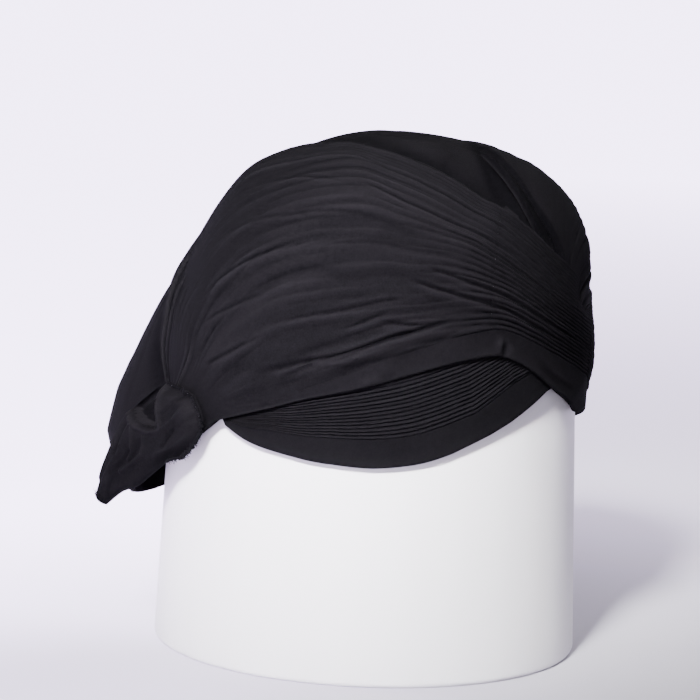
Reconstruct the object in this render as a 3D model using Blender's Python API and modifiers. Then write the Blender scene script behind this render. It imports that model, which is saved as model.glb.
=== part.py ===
# Black cloth blangkon on a plain round display stand.
# Metres, +Z up. The hat faces -Y, its right side is at -X, and the origin is the centre of the stand's foot.
# A place on the hat is an azimuth, counted from the front round the wearer's right, an elevation from the hat's
# centre, and a radius.

import math

import bmesh
import bpy
import numpy as np

MM = 0.001

# The stand is a slightly tapered round block, which the hat sits over.
STAND_FOOT_RADIUS = 90.3 * MM
STAND_TOP_RADIUS = 84.8 * MM
STAND_HEIGHT = 146 * MM
STAND_EDGE_ROUND = 2.5 * MM
STAND_SIDES = 64

# The draped form is a dome above the hat's centre and an upright wall below it.
CENTRE_HEIGHT = 125 * MM
HALF_LENGTH = 88.8 * MM
HALF_WIDTH = 88.8 * MM
DOME_RISE = 93 * MM
BACK_SQUARENESS = 2.0
FRONT_SQUARENESS = 3.1
SQUARE_FROM_COSINE = -0.35
STEEPEST_COSINE = 0.1

CLOTH = 1.2 * MM
LAYER_GAP = 0.65 * MM
CROWN_SIDES = 40
CROWN_RINGS = 32

# A wrap has a plain hem along its lower edge and pleats above it. Where it climbs over the other wrap, its lift
# grows over one ramp, which starts half a ramp early.
HEM_WIDTH = 11.5 * MM
WIDEST_HEM_SHARE = 0.45
HEM_ROWS = 3
PLEAT_COUNT = 17
ROWS_PER_PLEAT = 2
WRAP_ROWS = HEM_ROWS + ROWS_PER_PLEAT * PLEAT_COUNT
WRAP_INNER_ROWS = 12
WRAP_COLUMNS = 34
SPACING_SAMPLES = 400
PLEAT_DEPTH = 0.5 * MM
RAMP = math.radians(10)
RAMPS_EARLY = 1.5

# The crown's panel sinks between the two wraps at the front of the top, with soft sides.
VALLEY_DEPTH = 9 * MM
VALLEY_REACH = 1.3

# elevation in degrees, azimuth of the valley's middle and its half angle in degrees, share of its full depth
VALLEY = [
    (24, 0, 3, 0.0),
    (34, 4, 8, 0.8),
    (42, 11, 13, 1.0),
    (50, 17, 20, 1.0),
    (58, 20, 30, 0.6),
    (66, 20, 40, 0.2),
    (74, 20, 50, 0.0),
]

# The nape pouch swells out of the crown over this much each side of the back.
POUCH_HALF_ANGLE = 56
POUCH_FLAT_ANGLE = 10

# elevation in degrees, swell of the pouch at the middle of the back in mm
POUCH_PROFILE = [
    (-36, 5),
    (-33, 14),
    (-28, 23),
    (-20, 30),
    (-12, 27),
    (-3, 20),
    (8, 11),
    (16, 5),
    (24, 1.5),
    (32, 0),
]

# azimuth and elevation in degrees of the crown's lower edge, the same on both sides
CROWN_RIM = [
    (0, 3),
    (12, -2),
    (24, -8),
    (38, -14),
    (52, -17),
    (66, -17.5),
    (80, -16.5),
    (92, -14.5),
    (102, -13.5),
    (112, -17),
    (122, -22),
    (134, -28),
    (148, -33),
    (164, -35),
    (180, -35.5),
]

# One row for each section across a wrap, from its gathered end behind the ear, up over the side of the head,
# across the forehead and round the other side as a pleated band, all but the last in degrees:
# lower edge azimuth and elevation, upper edge azimuth and elevation, the same on the left wrap,
# how far above the lower edge the other wrap begins and ends beneath the right one, share of full pleat depth
WRAP = [
    (104.4, -14.4, 128.0, -8.4, 128.0, -8.4, -20, 9, 0.2),
    (98.0, -13.0, 133.5, 1.0, 133.5, 1.0, -20, 9, 0.6),
    (91.0, -11.0, 137.0, 12.0, 137.0, 12.0, -20, 10, 0.5),
    (83.0, -8.6, 147.0, 26.0, 145.0, 24.0, -20, 12, 0.35),
    (75.0, -6.0, 152.0, 42.0, 148.0, 38.0, -20, 13, 0.3),
    (67.0, -3.8, 148.0, 58.0, 142.0, 53.0, -20, 14, 0.3),
    (58.8, -1.7, 128.0, 69.0, 110.0, 66.0, -20, 15, 0.35),
    (48.5, 1.5, 88.0, 71.5, 52.0, 67.5, -20, 16, 0.4),
    (39.6, 4.1, 57.0, 63.5, 18.0, 61.5, -20, 17, 0.5),
    (30.7, 6.0, 37.0, 54.0, 1.0, 54.5, -20, 19, 0.7),
    (22.6, 6.5, 22.5, 44.0, -3.6, 45.0, -20, 24, 1.0),
    (14.7, 3.8, 10.0, 35.8, -3.2, 36.0, -20, 36, 1.0),
    (4.5, -1.6, -2.0, 28.0, -2.5, 28.5, -10, 60, 1.0),
    (-9.5, -6.5, -16.0, 22.5, -16.0, 22.5, 8, 60, 1.0),
    (-21.0, -10.0, -29.0, 19.5, -29.0, 19.5, 16, 60, 1.0),
    (-31.0, -13.2, -40.0, 16.0, -40.0, 16.0, 19, 60, 1.0),
    (-43.0, -17.2, -52.0, 12.0, -52.0, 12.0, 21, 60, 1.0),
    (-55.0, -19.4, -64.0, 7.5, -64.0, 7.5, 19, 60, 1.0),
    (-67.0, -20.1, -75.0, 2.5, -75.0, 2.5, 15, 60, 1.0),
    (-79.0, -19.2, -85.0, -2.5, -85.0, -2.5, 11, 60, 1.0),
    (-89.0, -17.5, -94.0, -6.5, -94.0, -6.5, 7, 60, 0.8),
    (-97.0, -14.5, -101.0, -9.5, -101.0, -9.5, 3, 60, 0.5),
]

# A knot tail is a flattened pouch in an upright plane that faces this azimuth.
TAIL_FACING = 106
TAIL_WALL = 1.2 * MM

# One row for each section of a knot tail, from the seam at the wrap's gathered end to its tip, in mm:
# how far back its middle lies, how high, how far outside the wrap, its half width and its half thickness
TAIL = [
    (-1.5, 109.9, 3.0, 15.2, 2.0),
    (9.2, 103.4, 3.4, 15.4, 3.0),
    (19.4, 97.0, 4.0, 15.0, 4.6),
    (31.0, 88.4, 4.4, 14.6, 5.8),
    (39.8, 79.0, 5.0, 12.2, 5.4),
    (48.2, 69.6, 6.0, 8.8, 4.4),
    (57.6, 57.2, 7.0, 3.2, 2.6),
]

# The seam slants this share of the tail's length, the pocket's lip lies this share of the way down it,
# and the tail has left the head's curve by this share.
SEAM_SLANT = 0.16
POCKET_LIP = 0.47
FREE_FROM = 0.5
TAIL_SIDES = 20
TAIL_RINGS = 18
SLOPE_STEP = 0.01

# degrees round the tail from its back edge over its outer side, share of the pocket's full depth there
POCKET = [
    (-14, 0),
    (-2, 1),
    (77, 1),
    (95, 0),
]


def smooth(share):
    share = np.clip(share, 0, 1)
    return share * share * (3 - 2 * share)


def track(rows, column, share):
    """One column of a table as a smooth curve through its rows, at a share of the way from first to last."""
    values = np.array([row[column] for row in rows], float)
    place = np.clip(np.asarray(share, float), 0, 1) * (len(values) - 1)
    low = np.minimum(place.astype(int), len(values) - 2)
    part = place - low
    before = values[np.maximum(low - 1, 0)]
    start = values[low]
    end = values[low + 1]
    after = values[np.minimum(low + 2, len(values) - 1)]
    start_slope = (end - before) / 2
    end_slope = (after - start) / 2
    return (
        start * (1 + 2 * part) * (1 - part) ** 2
        + end * (3 - 2 * part) * part**2
        + start_slope * part * (1 - part) ** 2
        - end_slope * (1 - part) * part**2
    )


def look_up(rows, key, column=1):
    """A column of a table at a value of its first column."""
    values = np.array(rows, float)
    return np.interp(key, values[:, 0], values[:, column])


def place_at(azimuth, elevation, radius):
    level = radius * np.cos(elevation)
    return np.stack(
        [
            -level * np.sin(azimuth),
            -level * np.cos(azimuth),
            CENTRE_HEIGHT + radius * np.sin(elevation),
        ],
        -1,
    )


def drape_radius(azimuth, elevation):
    """Distance from the hat's centre to its draped form: squarer at the front, rounder at the back."""
    side = 1 / np.hypot(np.cos(azimuth) / HALF_LENGTH, np.sin(azimuth) / HALF_WIDTH)
    frontness = smooth((np.cos(azimuth) - SQUARE_FROM_COSINE) / (1 - SQUARE_FROM_COSINE))
    power = BACK_SQUARENESS + (FRONT_SQUARENESS - BACK_SQUARENESS) * frontness
    across = np.abs(np.cos(elevation)) / side
    upright = np.abs(np.sin(elevation)) / DOME_RISE
    dome = (across**power + upright**power) ** (-1 / power)
    wall = side / np.maximum(np.cos(elevation), STEEPEST_COSINE)
    return np.where(elevation >= 0, dome, wall)


def pouch_swell(azimuth, elevation):
    from_back = 180 - np.abs(np.degrees(azimuth))
    side = smooth((POUCH_HALF_ANGLE - from_back) / (POUCH_HALF_ANGLE - POUCH_FLAT_ANGLE))
    return side * look_up(POUCH_PROFILE, np.degrees(elevation)) * MM


def valley_sink(azimuth, elevation):
    """How far the crown's panel lies below the wraps: a trough that opens upwards from the forehead."""
    middle, half_angle, depth = [
        look_up(VALLEY, np.degrees(elevation), column) for column in (1, 2, 3)
    ]
    away = np.abs(np.degrees(azimuth) - middle)
    return VALLEY_DEPTH * depth * smooth(VALLEY_REACH - away / half_angle)


def form_radius(azimuth, elevation):
    return drape_radius(azimuth, elevation) + pouch_swell(azimuth, elevation)


def crown_radius(azimuth, elevation):
    return form_radius(azimuth, elevation) - valley_sink(azimuth, elevation)


def add_object(name, mesh_data, colour, roughness):
    mesh = bpy.data.meshes.new(name)
    mesh_data.to_mesh(mesh)
    mesh_data.free()
    mesh.shade_smooth()
    mesh.set_sharp_from_angle(angle=math.radians(40))
    thing = bpy.data.objects.new(name, mesh)
    blangkon.objects.link(thing)
    material = bpy.data.materials.get(colour[0]) or bpy.data.materials.new(colour[0])
    material.use_nodes = True
    shader = material.node_tree.nodes["Principled BSDF"]
    shader.inputs["Base Color"].default_value = colour[1]
    shader.inputs["Roughness"].default_value = roughness
    shader.inputs["Metallic"].default_value = 0.0
    mesh.materials.append(material)
    return thing


def add_cloth(name, mesh_data):
    return add_object(name, mesh_data, ("black_cotton", (0.012, 0.012, 0.014, 1.0)), 0.9)


def mapped_grid(data, steps_along, steps_across, surface):
    """A grid whose vertices are laid on surface(along, across), with both shares from 0 to 1."""
    made = bmesh.ops.create_grid(
        data, x_segments=steps_along, y_segments=steps_across, size=0.5
    )["verts"]
    shares = np.array([vertex.co[:2] for vertex in made]) + 0.5
    for vertex, point in zip(made, surface(shares[:, 0], shares[:, 1])):
        vertex.co = point
    lower = [v for v, share in zip(made, shares) if share[1] < 1e-5]
    upper = [v for v, share in zip(made, shares) if share[1] > 1 - 1e-5]
    return lower, upper


def edges_between(vertices):
    chosen = set(vertices)
    return [
        edge
        for edge in {edge for vertex in vertices for edge in vertex.link_edges}
        if set(edge.verts) <= chosen
    ]


def cloth_wall(outside, inside, steps_along, steps_outside, steps_inside):
    """A closed sheet between two surfaces: a fine outer face, a plain inner face, and its edges."""
    data = bmesh.new()
    outer = mapped_grid(data, steps_along, steps_outside, outside)
    inner = mapped_grid(data, steps_along, steps_inside, inside)
    for outer_edge, inner_edge in zip(outer, inner):
        both = edges_between(outer_edge) + edges_between(inner_edge)
        bmesh.ops.bridge_loops(data, edges=both)
    bmesh.ops.holes_fill(data, edges=data.edges[:], sides=0)
    bmesh.ops.recalc_face_normals(data, faces=data.faces[:])
    return data


def add_stand():
    data = bmesh.new()
    bmesh.ops.create_cone(
        data,
        cap_ends=True,
        segments=STAND_SIDES,
        radius1=STAND_FOOT_RADIUS,
        radius2=STAND_TOP_RADIUS,
        depth=STAND_HEIGHT,
    )
    bmesh.ops.translate(data, verts=data.verts[:], vec=(0, 0, STAND_HEIGHT / 2))
    stand = add_object("display_stand", data, ("white_stand", (0.86, 0.84, 0.86, 1.0)), 0.35)
    rounding = stand.modifiers.new("edge round", "BEVEL")
    rounding.width = STAND_EDGE_ROUND
    rounding.segments = 2
    rounding.limit_method = "ANGLE"
    rounding.angle_limit = math.radians(50)


def add_crown():
    """The fitted cap under the wraps, whose back swells into the nape pouch."""
    data = bmesh.new()
    bmesh.ops.create_uvsphere(data, u_segments=CROWN_SIDES, v_segments=CROWN_RINGS, radius=1)
    below = [vertex for vertex in data.verts if vertex.co.z < -1e-4]
    bmesh.ops.delete(data, geom=below, context="VERTS")
    points = np.array([vertex.co[:] for vertex in data.verts])
    azimuth = np.arctan2(-points[:, 0], -points[:, 1])
    upness = np.arcsin(np.clip(points[:, 2], -1, 1)) / (math.pi / 2)
    rim = np.radians(look_up(CROWN_RIM, np.abs(np.degrees(azimuth))))
    elevation = rim + (math.pi / 2 - rim) * upness
    placed = place_at(azimuth, elevation, crown_radius(azimuth, elevation))
    for vertex, point in zip(data.verts, placed):
        vertex.co = point
    bmesh.ops.recalc_face_normals(data, faces=data.faces[:])
    crown = add_cloth("crown", data)
    wall = crown.modifiers.new("cloth thickness", "SOLIDIFY")
    wall.thickness = CLOTH
    wall.offset = -1


def even_spacing(edge_columns):
    """Shares of a wrap's length and of its table, paired so that no step along either edge is long."""
    along = np.linspace(0, 1, SPACING_SAMPLES)
    ends = [np.radians(track(WRAP, column, along)) for column in edge_columns]
    steps = [
        np.linalg.norm(np.diff(place_at(ends[k], ends[k + 1], 1.0), axis=0), axis=-1)
        for k in (0, 2)
    ]
    length = np.concatenate([[0], np.cumsum(np.maximum(*steps))])
    return length / length[-1], along


def wrap_layer(side, lift_low, lift_high, wall, pleat_depth):
    """The function that lays one face of a wrap on the drape, at its lift, with its pleats."""
    edge_columns = (0, 1, 2, 3) if side > 0 else (0, 1, 4, 5)
    spacing = even_spacing(edge_columns)

    def surface(along, across):
        along = np.interp(along, *spacing)
        ends = [np.radians(track(WRAP, column, along)) for column in edge_columns]
        low = place_at(ends[0] * side, ends[1], 1.0) - [0, 0, CENTRE_HEIGHT]
        high = place_at(ends[2] * side, ends[3], 1.0) - [0, 0, CENTRE_HEIGHT]
        sweep = np.arccos(np.clip((low * high).sum(-1), -1, 1))
        hem = np.minimum(HEM_WIDTH / HALF_WIDTH, WIDEST_HEM_SHARE * sweep)
        hem_share = HEM_ROWS / WRAP_ROWS
        rise = np.where(
            across < hem_share,
            hem * across / hem_share,
            hem + (sweep - hem) * (across - hem_share) / (1 - hem_share),
        )
        turn = np.stack([np.sin(sweep - rise), np.sin(rise)], -1) / np.sin(sweep)[:, None]
        heading = low * turn[:, :1] + high * turn[:, 1:]
        azimuth = np.arctan2(-heading[:, 0], -heading[:, 1])
        elevation = np.arcsin(np.clip(heading[:, 2], -1, 1))
        begins = np.radians(track(WRAP, 6, along))
        ends_at = np.radians(track(WRAP, 7, along))
        above = smooth((rise - begins) / RAMP + RAMPS_EARLY)
        below = smooth(RAMPS_EARLY - (rise - ends_at) / RAMP)
        lift = lift_low + (lift_high - lift_low) * above * below
        pleated = (across - hem_share) / (1 - hem_share) * PLEAT_COUNT
        ridge = np.where(across < hem_share, 0.5, np.abs(pleated % 1 - 0.5) * 2)
        folds = pleat_depth * track(WRAP, 8, along) * ridge
        reach = form_radius(azimuth, elevation) + lift + wall + folds
        return place_at(azimuth, elevation, reach)

    return surface


def add_wrap(name, side, lift_low, lift_high):
    outside = wrap_layer(side, lift_low, lift_high, CLOTH, PLEAT_DEPTH)
    inside = wrap_layer(side, lift_low, lift_high, 0.0, 0.0)
    data = cloth_wall(outside, inside, WRAP_COLUMNS, WRAP_ROWS, WRAP_INNER_ROWS)
    add_cloth(name, data)


def tail_surface(around, share, wrap_face):
    """A point of a knot tail: around it from its back edge over its outer side, and down it from its start."""
    seam = SEAM_SLANT * (1 + np.cos(around)) / 2
    pocket = smooth(look_up(POCKET, np.degrees(around)))
    start = seam + (POCKET_LIP - seam) * pocket
    place = start + (1 - start) * share
    back, height, out, half_width, half_thickness = [
        track(TAIL, column, place) * MM for column in range(5)
    ]
    run = track(TAIL, 0, place + SLOPE_STEP) - track(TAIL, 0, place - SLOPE_STEP)
    fall = track(TAIL, 1, place + SLOPE_STEP) - track(TAIL, 1, place - SLOPE_STEP)
    slope = np.hypot(run, fall)
    across = half_width * np.cos(around)
    facing = math.radians(TAIL_FACING)
    outward = np.array([-math.sin(facing), -math.cos(facing), 0])
    backward = np.array([-math.cos(facing), math.sin(facing), 0])
    level = back - across * fall / slope
    upright = height + across * run / slope
    curve = wrap_face - np.sqrt(wrap_face**2 - level**2)
    proud = wrap_face + out + half_thickness * np.sin(around)
    proud -= curve * (1 - smooth(place / FREE_FROM))
    return level[:, None] * backward + proud[:, None] * outward + upright[:, None] * [0, 0, 1]


def add_tail(name, side, wrap_lift):
    data = bmesh.new()
    bmesh.ops.create_uvsphere(data, u_segments=TAIL_SIDES, v_segments=TAIL_RINGS, radius=1)
    below = [vertex for vertex in data.verts if vertex.co.z < -1e-4]
    bmesh.ops.delete(data, geom=below, context="VERTS")
    points = np.array([vertex.co[:] for vertex in data.verts])
    around = np.arctan2(points[:, 1], points[:, 0])
    share = np.arcsin(np.clip(points[:, 2], -1, 1)) / (math.pi / 2)
    wrap_face = HALF_WIDTH + wrap_lift + CLOTH
    placed = tail_surface(around, share, wrap_face) * [side, 1, 1]
    for vertex, point in zip(data.verts, placed):
        vertex.co = point
    if side > 0:
        bmesh.ops.reverse_faces(data, faces=data.faces[:])
    tail = add_cloth(name, data)
    wall = tail.modifiers.new("cloth thickness", "SOLIDIFY")
    wall.thickness = TAIL_WALL
    wall.offset = -1


blangkon = bpy.data.collections.new("blangkon")


def main():
    for thing in list(bpy.data.objects):
        bpy.data.objects.remove(thing, do_unlink=True)
    bpy.context.scene.collection.children.link(blangkon)
    add_stand()
    add_crown()
    under = LAYER_GAP
    over = under + CLOTH + PLEAT_DEPTH + LAYER_GAP
    add_wrap("left_wrap", -1, under, under)
    add_wrap("right_wrap", 1, under, over)
    add_tail("left_tail", -1, under)
    add_tail("right_tail", 1, over)


main()
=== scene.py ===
import math

import bpy
import numpy as np
from mathutils import Matrix, Vector


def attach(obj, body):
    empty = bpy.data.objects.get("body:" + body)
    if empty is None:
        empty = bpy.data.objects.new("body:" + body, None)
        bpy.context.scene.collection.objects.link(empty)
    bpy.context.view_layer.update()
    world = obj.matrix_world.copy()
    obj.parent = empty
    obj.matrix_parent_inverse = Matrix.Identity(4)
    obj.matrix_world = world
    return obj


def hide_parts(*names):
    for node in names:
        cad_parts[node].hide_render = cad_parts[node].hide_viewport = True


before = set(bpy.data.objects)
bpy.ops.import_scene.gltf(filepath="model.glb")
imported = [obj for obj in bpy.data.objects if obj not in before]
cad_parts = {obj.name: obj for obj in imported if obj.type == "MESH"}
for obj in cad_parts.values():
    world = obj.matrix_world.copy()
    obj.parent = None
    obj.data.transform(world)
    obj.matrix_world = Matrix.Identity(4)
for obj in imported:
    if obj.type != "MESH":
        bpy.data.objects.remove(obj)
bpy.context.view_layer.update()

mm = 0.001

# Places on the hat are an azimuth from the front round the wearer's right, an elevation from the hat's centre
# and a radius. The hat faces -Y and the wearer's right is at -X.
hatForm = {
    "centreHeight": 0.125,
    "halfLength": 0.0888,
    "halfWidth": 0.0888,
    "domeRise": 0.093,
    "backSquareness": 2.0,
    "frontSquareness": 3.1,
    "squareFromCosine": -0.35,
    "steepestCosine": 0.1,
}

shot = {
    "azimuth": 55.0,              # degrees from the front towards the wearer's right
    "pitch": 8.0,
    "roll": 2.3,
    "distance": 1.3,
    "metresPerPixel": 0.000427,   # at the hat's axis
    "pixels": 700,
    "sensor": 36.0,
    "aimSideways": 0.0107,
}


def addObject(name, data):
    placed = bpy.data.objects.new(name, data)
    bpy.context.scene.collection.objects.link(placed)
    return placed


def cameraAxes():
    azimuth, pitch, roll = [math.radians(shot[name]) for name in ("azimuth", "pitch", "roll")]
    reach = math.cos(pitch)
    back = Vector((-math.sin(azimuth) * reach, -math.cos(azimuth) * reach, math.sin(pitch)))
    level = (-back).cross(Vector((0, 0, 1))).normalized()
    upright = level.cross(-back)
    right = math.cos(roll) * level + math.sin(roll) * upright
    up = math.cos(roll) * upright - math.sin(roll) * level
    target = Vector((0, 0, hatForm["centreHeight"])) - level * shot["aimSideways"]
    return right, up, back, target


def placeCamera():
    right, up, back, target = cameraAxes()
    lens = bpy.data.cameras.new("photo view")
    lens.sensor_width = shot["sensor"]
    lens.lens = shot["sensor"] * shot["distance"] / (shot["pixels"] * shot["metresPerPixel"])
    camera = addObject("photo view", lens)
    turn = Matrix((right, up, back)).transposed().to_4x4()
    camera.matrix_world = Matrix.Translation(target + back * shot["distance"]) @ turn
    bpy.context.scene.camera = camera


lighting = {
    "sky": (0.90, 0.87, 1.0),
    "skyStrength": 0.20,
    "lamps": {      # place is right, up and towards the camera from the hat, spread is in degrees
        "key": {"place": (-0.27, 0.57, 1.06), "size": 0.25, "spread": 19.0, "watts": 2.2},
        "front": {"place": (-0.16, 0.05, 1.2), "size": 0.4, "spread": 180.0, "watts": 5.0},
        "top": {"place": (0.10, 1.15, -0.25), "size": 0.6, "spread": 180.0, "watts": 2.0},
        "rim": {"place": (0.70, 1.1, -0.5), "size": 1.0, "spread": 180.0, "watts": 9.0},
    },
    "floorSize": 30.0,
    "floorDark": (0.44, 0.42, 0.48, 1.0),
    "floorPale": (0.48, 0.46, 0.52, 1.0),
    "floorGlow": 6.6,             # painted light: the floor glows in place of a lit studio floor
    "floorTint": (0.80, 0.68, 1.0, 1.0),
    "glowFrom": -0.10,            # distance from the hat's axis where the glow begins to rise, leaving painted shade round the stand's foot
    "glowTo": 0.35,
    "dimmest": 0.97,              # share of the glow lost in the stand's painted shadow, on the right as seen from the camera
    "dimFrom": -0.10,             # across the photo
    "dimTo": 0.10,
    "dimDepth": 2.5,              # away from the camera
    "inFront": 0.45,              # share of the glow left on the camera's side, where the floor is painted darker
}


def placeLights():
    world = bpy.data.worlds.new("pale studio")
    world.use_nodes = True
    sky = world.node_tree.nodes["Background"]
    sky.inputs["Color"].default_value = (*lighting["sky"], 1.0)
    sky.inputs["Strength"].default_value = lighting["skyStrength"]
    bpy.context.scene.world = world
    right, up, back, target = cameraAxes()
    for name, settings in lighting["lamps"].items():
        lamp = bpy.data.lights.new(name, "AREA")
        lamp.size = settings["size"]
        lamp.spread = math.radians(settings["spread"])
        lamp.energy = settings["watts"]
        across, high, near = settings["place"]
        holder = addObject(name, lamp)
        holder.location = target + right * across + up * high + back * near
        holder.rotation_euler = (target - holder.location).to_track_quat("-Z", "Y").to_euler()


def operator(operation, reflected=False):
    def apply(wire, other):
        values = (other, wire) if reflected else (wire, other)
        return wire.sum(operation, *values)
    return apply


# Shader and geometry trees. A Wire is one socket that takes part in sums.
class Wire:
    def __init__(self, tree, socket):
        self.tree = tree
        self.socket = socket

    def sum(self, operation, *values):
        return addNode(self.tree, "ShaderNodeMath", {"operation": operation}, dict(enumerate(values)))

    __add__, __radd__ = operator("ADD"), operator("ADD", True)
    __sub__, __rsub__ = operator("SUBTRACT"), operator("SUBTRACT", True)
    __mul__, __rmul__ = operator("MULTIPLY"), operator("MULTIPLY", True)
    __truediv__ = operator("DIVIDE")


def addNode(tree, kind, settings=None, inputs=None, output=0):
    node = tree.nodes.new(kind)
    for name, value in (settings or {}).items():
        setattr(node, name, value)
    for name, value in (inputs or {}).items():
        if isinstance(value, Wire):
            tree.links.new(value.socket, node.inputs[name])
        else:
            node.inputs[name].default_value = value
    return Wire(tree, node.outputs[output])


def addNoise(tree, place, scale, detail=2.0, roughness=0.5):
    return addNode(tree, "ShaderNodeTexNoise", {}, {
        "Vector": place, "Scale": scale, "Detail": detail, "Roughness": roughness})


def mixColours(tree, share, first, second):
    return addNode(tree, "ShaderNodeMix", {"data_type": "RGBA"}, {0: share, 6: first, 7: second}, output=2)


def mapSmoothly(tree, value, low, high, least=0.0, most=1.0):
    return addNode(tree, "ShaderNodeMapRange", {"interpolation_type": "SMOOTHSTEP"}, {
        "Value": value, "From Min": low, "From Max": high, "To Min": least, "To Max": most})


def newMaterial(name):
    material = bpy.data.materials.new(name)
    material.use_nodes = True
    tree = material.node_tree
    return material, tree, tree.nodes["Principled BSDF"]


def plug(tree, wire, shader, socket):
    tree.links.new(wire.socket, shader.inputs[socket])


blackCotton = {
    "deep": (0.0008, 0.0007, 0.0011, 1.0),       # painted shade in the grooves and creases
    "wornAndLit": (0.0064, 0.0058, 0.0070, 1.0),       # worn crests, and painted highlights
    "wearAndPaintedLightShare": 0.75,
    "mottleShare": 0.55,
    "grainShare": 0.80,
    "patchShare": 0.20,
    "darkest": -0.70,
    "patchScale": 28.0,
    "threadPitch": 0.00046,
    "threadHeight": 0.00005,
    "slubSize": 0.0022,
    "slubHeight": 1.8,
    "grainSize": 0.00075,
    "bumpStrength": 0.55,
    "roughness": 0.86,
    "specular": 0.02,
}


def makeCotton(name):
    settings = blackCotton
    material, tree, shader = newMaterial(name)
    place = addNode(tree, "ShaderNodeTexCoord", output=3)
    onCloth = addNode(tree, "ShaderNodeUVMap", {"uv_map": "cloth"})
    # This attribute holds wear on the crests together with painted shade and painted highlights, and sets the
    # tone between the two colours
    wearAndPaintedLight = addNode(tree, "ShaderNodeAttribute", {"attribute_name": "wearAndPaintedLight"}, output=2)
    mottle = addNoise(tree, place, 1 / settings["slubSize"], 3.0, 0.7)
    grain = addNoise(tree, place, 1 / settings["grainSize"], 2.0, 0.6)
    patches = addNoise(tree, place, settings["patchScale"])
    tone = wearAndPaintedLight * settings["wearAndPaintedLightShare"] + mottle * settings["mottleShare"] + grain * settings["grainShare"]
    tone = tone + patches * settings["patchShare"] + settings["darkest"]
    plug(tree, mixColours(tree, tone, settings["deep"], settings["wornAndLit"]), shader, "Base Color")
    along = addNode(tree, "ShaderNodeSeparateXYZ", {}, {"Vector": onCloth})
    across = Wire(tree, along.socket.node.outputs[1])
    turns = 2 * math.pi / settings["threadPitch"]
    warp = along.sum("SINE", along * turns)
    weft = across.sum("SINE", across * turns)
    weave = warp * weft * 0.5 + (mottle + grain) * settings["slubHeight"]
    bump = addNode(tree, "ShaderNodeBump", {}, {
        "Strength": settings["bumpStrength"], "Distance": settings["threadHeight"], "Height": weave})
    plug(tree, bump, shader, "Normal")
    plug(tree, settings["roughness"] + 0.10 * mottle, shader, "Roughness")
    shader.inputs["Specular IOR Level"].default_value = settings["specular"]
    return material


def makeThread(name, colour):
    material, tree, shader = newMaterial(name)
    fuzz = addNoise(tree, addNode(tree, "ShaderNodeTexCoord", output=3), 900.0)
    dark, pale = [(*[part * share for part in colour], 1.0) for share in (0.6, 1.3)]
    plug(tree, mixColours(tree, fuzz, dark, pale), shader, "Base Color")
    shader.inputs["Roughness"].default_value = 0.8
    shader.inputs["Specular IOR Level"].default_value = 0.04
    return material


standFinish = {"white": (0.87, 0.85, 0.885, 1.0), "shade": (0.82, 0.79, 0.83, 1.0), "roughness": 0.38}


def makeStandFinish():
    material, tree, shader = newMaterial("whiteStand")
    place = addNode(tree, "ShaderNodeTexCoord", output=3)
    stretched = addNode(tree, "ShaderNodeMapping", {}, {"Vector": place, "Scale": (1.0, 1.0, 0.12)})
    streaks = addNoise(tree, stretched, 60.0, 4.0)
    grain = addNoise(tree, place, 900.0)
    plug(tree, mixColours(tree, streaks, standFinish["white"], standFinish["shade"]), shader, "Base Color")
    plug(tree, standFinish["roughness"] + 0.12 * streaks, shader, "Roughness")
    bump = addNode(tree, "ShaderNodeBump", {}, {
        "Strength": 0.25, "Distance": 0.00006, "Height": grain + streaks * 0.6})
    plug(tree, bump, shader, "Normal")
    return material


# Number tools
def smooth(share):
    share = np.clip(share, 0, 1)
    return share * share * (3 - 2 * share)


def bell(away):
    return np.exp(-(away**2))


def through(rows, column, share):             # one column of a table as a smooth curve through its rows
    values = np.array([row[column] for row in rows], float)
    place = np.clip(np.asarray(share, float), 0, 1) * (len(values) - 1)
    low = np.minimum(place.astype(int), len(values) - 2)
    part = place - low
    before, start = values[np.maximum(low - 1, 0)], values[low]
    end, after = values[low + 1], values[np.minimum(low + 2, len(values) - 1)]
    return (
        start * (1 + 2 * part) * (1 - part) ** 2
        + end * (3 - 2 * part) * part**2
        + (end - before) / 2 * part * (1 - part) ** 2
        - (after - start) / 2 * (1 - part) * part**2
    )


def between(rows, key, column=1):             # a column of a table at a value of its first column
    values = np.array(rows, float)
    return np.interp(key, values[:, 0], values[:, column])


def noise(x, y, seed):                        # smooth noise from 0 to 1, with one lump for each unit
    x, y = np.broadcast_arrays(x, y)
    cellX, cellY = np.floor(x).astype(np.int64), np.floor(y).astype(np.int64)
    partX, partY = smooth(x - cellX), smooth(y - cellY)

    def corner(stepX, stepY):
        mixed = ((cellX + stepX) * 374761393 + (cellY + stepY) * 668265263 + seed * 974634777) & 0x7FFFFFFF
        mixed = ((mixed ^ (mixed >> 13)) * 1274126177) & 0x7FFFFFFF
        return ((mixed ^ (mixed >> 16)) & 0xFFFF) / 65535

    lower = corner(0, 0) * (1 - partX) + corner(1, 0) * partX
    upper = corner(0, 1) * (1 - partX) + corner(1, 1) * partX
    return lower * (1 - partY) + upper * partY


def ridged(x, y, seed):                       # 1 along thin lines, falling away on both sides
    return 1 - np.abs(2 * noise(x, y, seed) - 1)


# The hat's form, as in the CAD
hatRadius = hatForm["halfWidth"] / mm
hatCentre = np.array([0, 0, hatForm["centreHeight"]])
pouchShape = {"halfAngle": 56, "flatAngle": 10}
pouchProfile = [   # elevation, swell in mm
    (-36, 5), (-33, 14), (-28, 23), (-20, 30), (-12, 27), (-3, 20), (8, 11), (16, 5), (24, 1.5), (32, 0)]
valleyShape = {"depth": 9.0, "reach": 1.3}
valleyRows = [     # elevation, azimuth of the middle, half angle, share of the depth
    (24, 0, 3, 0.0), (34, 4, 8, 0.8), (42, 11, 13, 1.0), (50, 17, 20, 1.0), (58, 20, 30, 0.6),
    (66, 20, 40, 0.2), (74, 20, 50, 0.0)]


def placeAt(azimuth, elevation, radius):
    level = radius * np.cos(elevation)
    height = hatForm["centreHeight"] + radius * np.sin(elevation)
    return np.stack([-level * np.sin(azimuth), -level * np.cos(azimuth), height], -1)


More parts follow.
